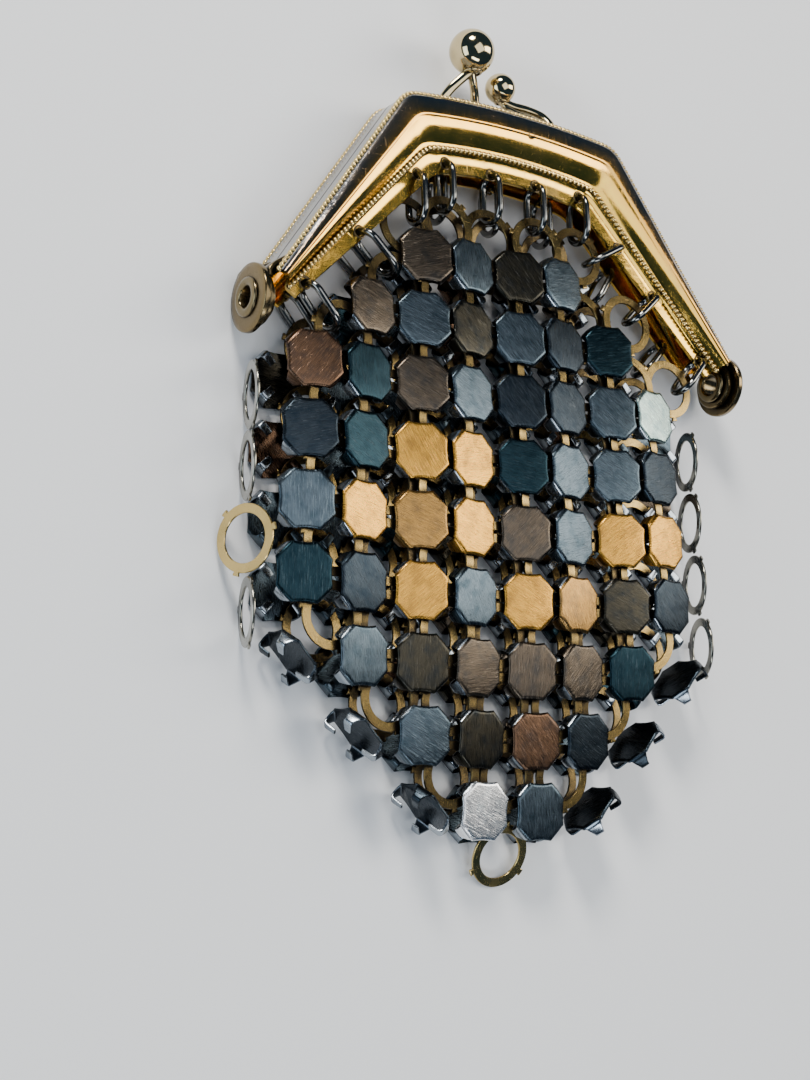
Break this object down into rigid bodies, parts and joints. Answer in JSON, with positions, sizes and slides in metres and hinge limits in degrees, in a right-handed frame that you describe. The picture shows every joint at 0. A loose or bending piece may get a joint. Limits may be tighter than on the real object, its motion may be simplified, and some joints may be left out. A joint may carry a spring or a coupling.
{
  "type": "metal mail evening purse with kiss lock frame",
  "caption": "Small evening purse of octagonal metal mail plates and link rings on a beaded gold-tone kiss-lock frame; the frame opens on round hinge ears.",
  "frame": {"origin": "on the resting plane, at the middle of the outer face of one plate in the fifth row of the rear mail", "axes": "+Z out of the front of the purse lying on its back, +Y towards the clasp, +X to the right seen from the front"},
  "size_m": [0.0856, 0.1191, 0.0102],
  "materials": {
    "frame_gold": "polished, gold-tone plated",
    "clasp_gold": "polished, gold-tone plated",
    "ring_steel": "polished wire",
    "plate_metal": "brushed and scratched",
    "link_gold": "stamped, satin"
  },
  "bodies": {
    "rear_half": {"rear_frame": "frame_gold", "left_eyelet": "frame_gold", "right_eyelet": "frame_gold", "rear_clasp_post": "clasp_gold", "rear_clasp_ball": "clasp_gold", "front_jump_rings_ears": "ring_steel", "rear_jump_rings_top": "ring_steel", "rear_jump_rings_legs": "ring_steel", "front_plates_b": "plate_metal", "front_plates_c": "plate_metal", "front_plates_d": "plate_metal", "front_plates_e": "plate_metal", "front_plates_f": "plate_metal", "front_plates_g": "plate_metal", "front_plates_h": "plate_metal", "front_plates_i": "plate_metal", "rear_plates_a": "plate_metal", "rear_plates_b": "plate_metal", "rear_plates_c": "plate_metal", "rear_plates_d": "plate_metal", "rear_plates_e": "plate_metal", "rear_plates_f": "plate_metal", "rear_plates_g": "plate_metal", "rear_plates_h": "plate_metal", "rear_plates_i": "plate_metal", "side_plates_left": "plate_metal", "side_plates_right": "plate_metal", "front_links_ab": "link_gold", "front_links_bc": "link_gold", "front_links_cd": "link_gold", "front_links_de": "link_gold", "front_links_ef": "link_gold", "front_links_fg": "link_gold", "front_links_gh": "link_gold", "front_links_hi": "link_gold", "rear_links_top": "link_gold", "rear_links_ab": "link_gold", "rear_links_bc": "link_gold", "rear_links_cd": "link_gold", "rear_links_de": "link_gold", "rear_links_ef": "link_gold", "rear_links_fg": "link_gold", "rear_links_gh": "link_gold", "rear_links_hi": "link_gold", "side_links_left": "link_gold", "side_links_right": "link_gold"},
    "front_half": {"front_frame": "frame_gold", "front_clasp_post": "clasp_gold", "front_clasp_ball": "clasp_gold", "front_jump_rings_top": "ring_steel", "front_jump_rings_legs": "ring_steel", "front_plates_a": "plate_metal", "front_links_top": "link_gold"},
    "bottom_ring": {"bottom_link": "link_gold"}
  },
  "joints": [
    {"name": "frame_hinge", "type": "hinge", "parent": "rear_half", "child": "front_half", "pos_m": [0, 0.0273, 0.005], "axis": [1, 0, 0], "range_deg": [0, 60], "deforming": ["front_links_ab", "front_jump_rings_ears"]},
    {"name": "bottom_ring_swing", "type": "hinge", "parent": "rear_half", "child": "bottom_ring", "pos_m": [-0.0014, -0.0384, 0.0036], "axis": [-1, 0, 0], "range_deg": [0, 20]}
  ]
}
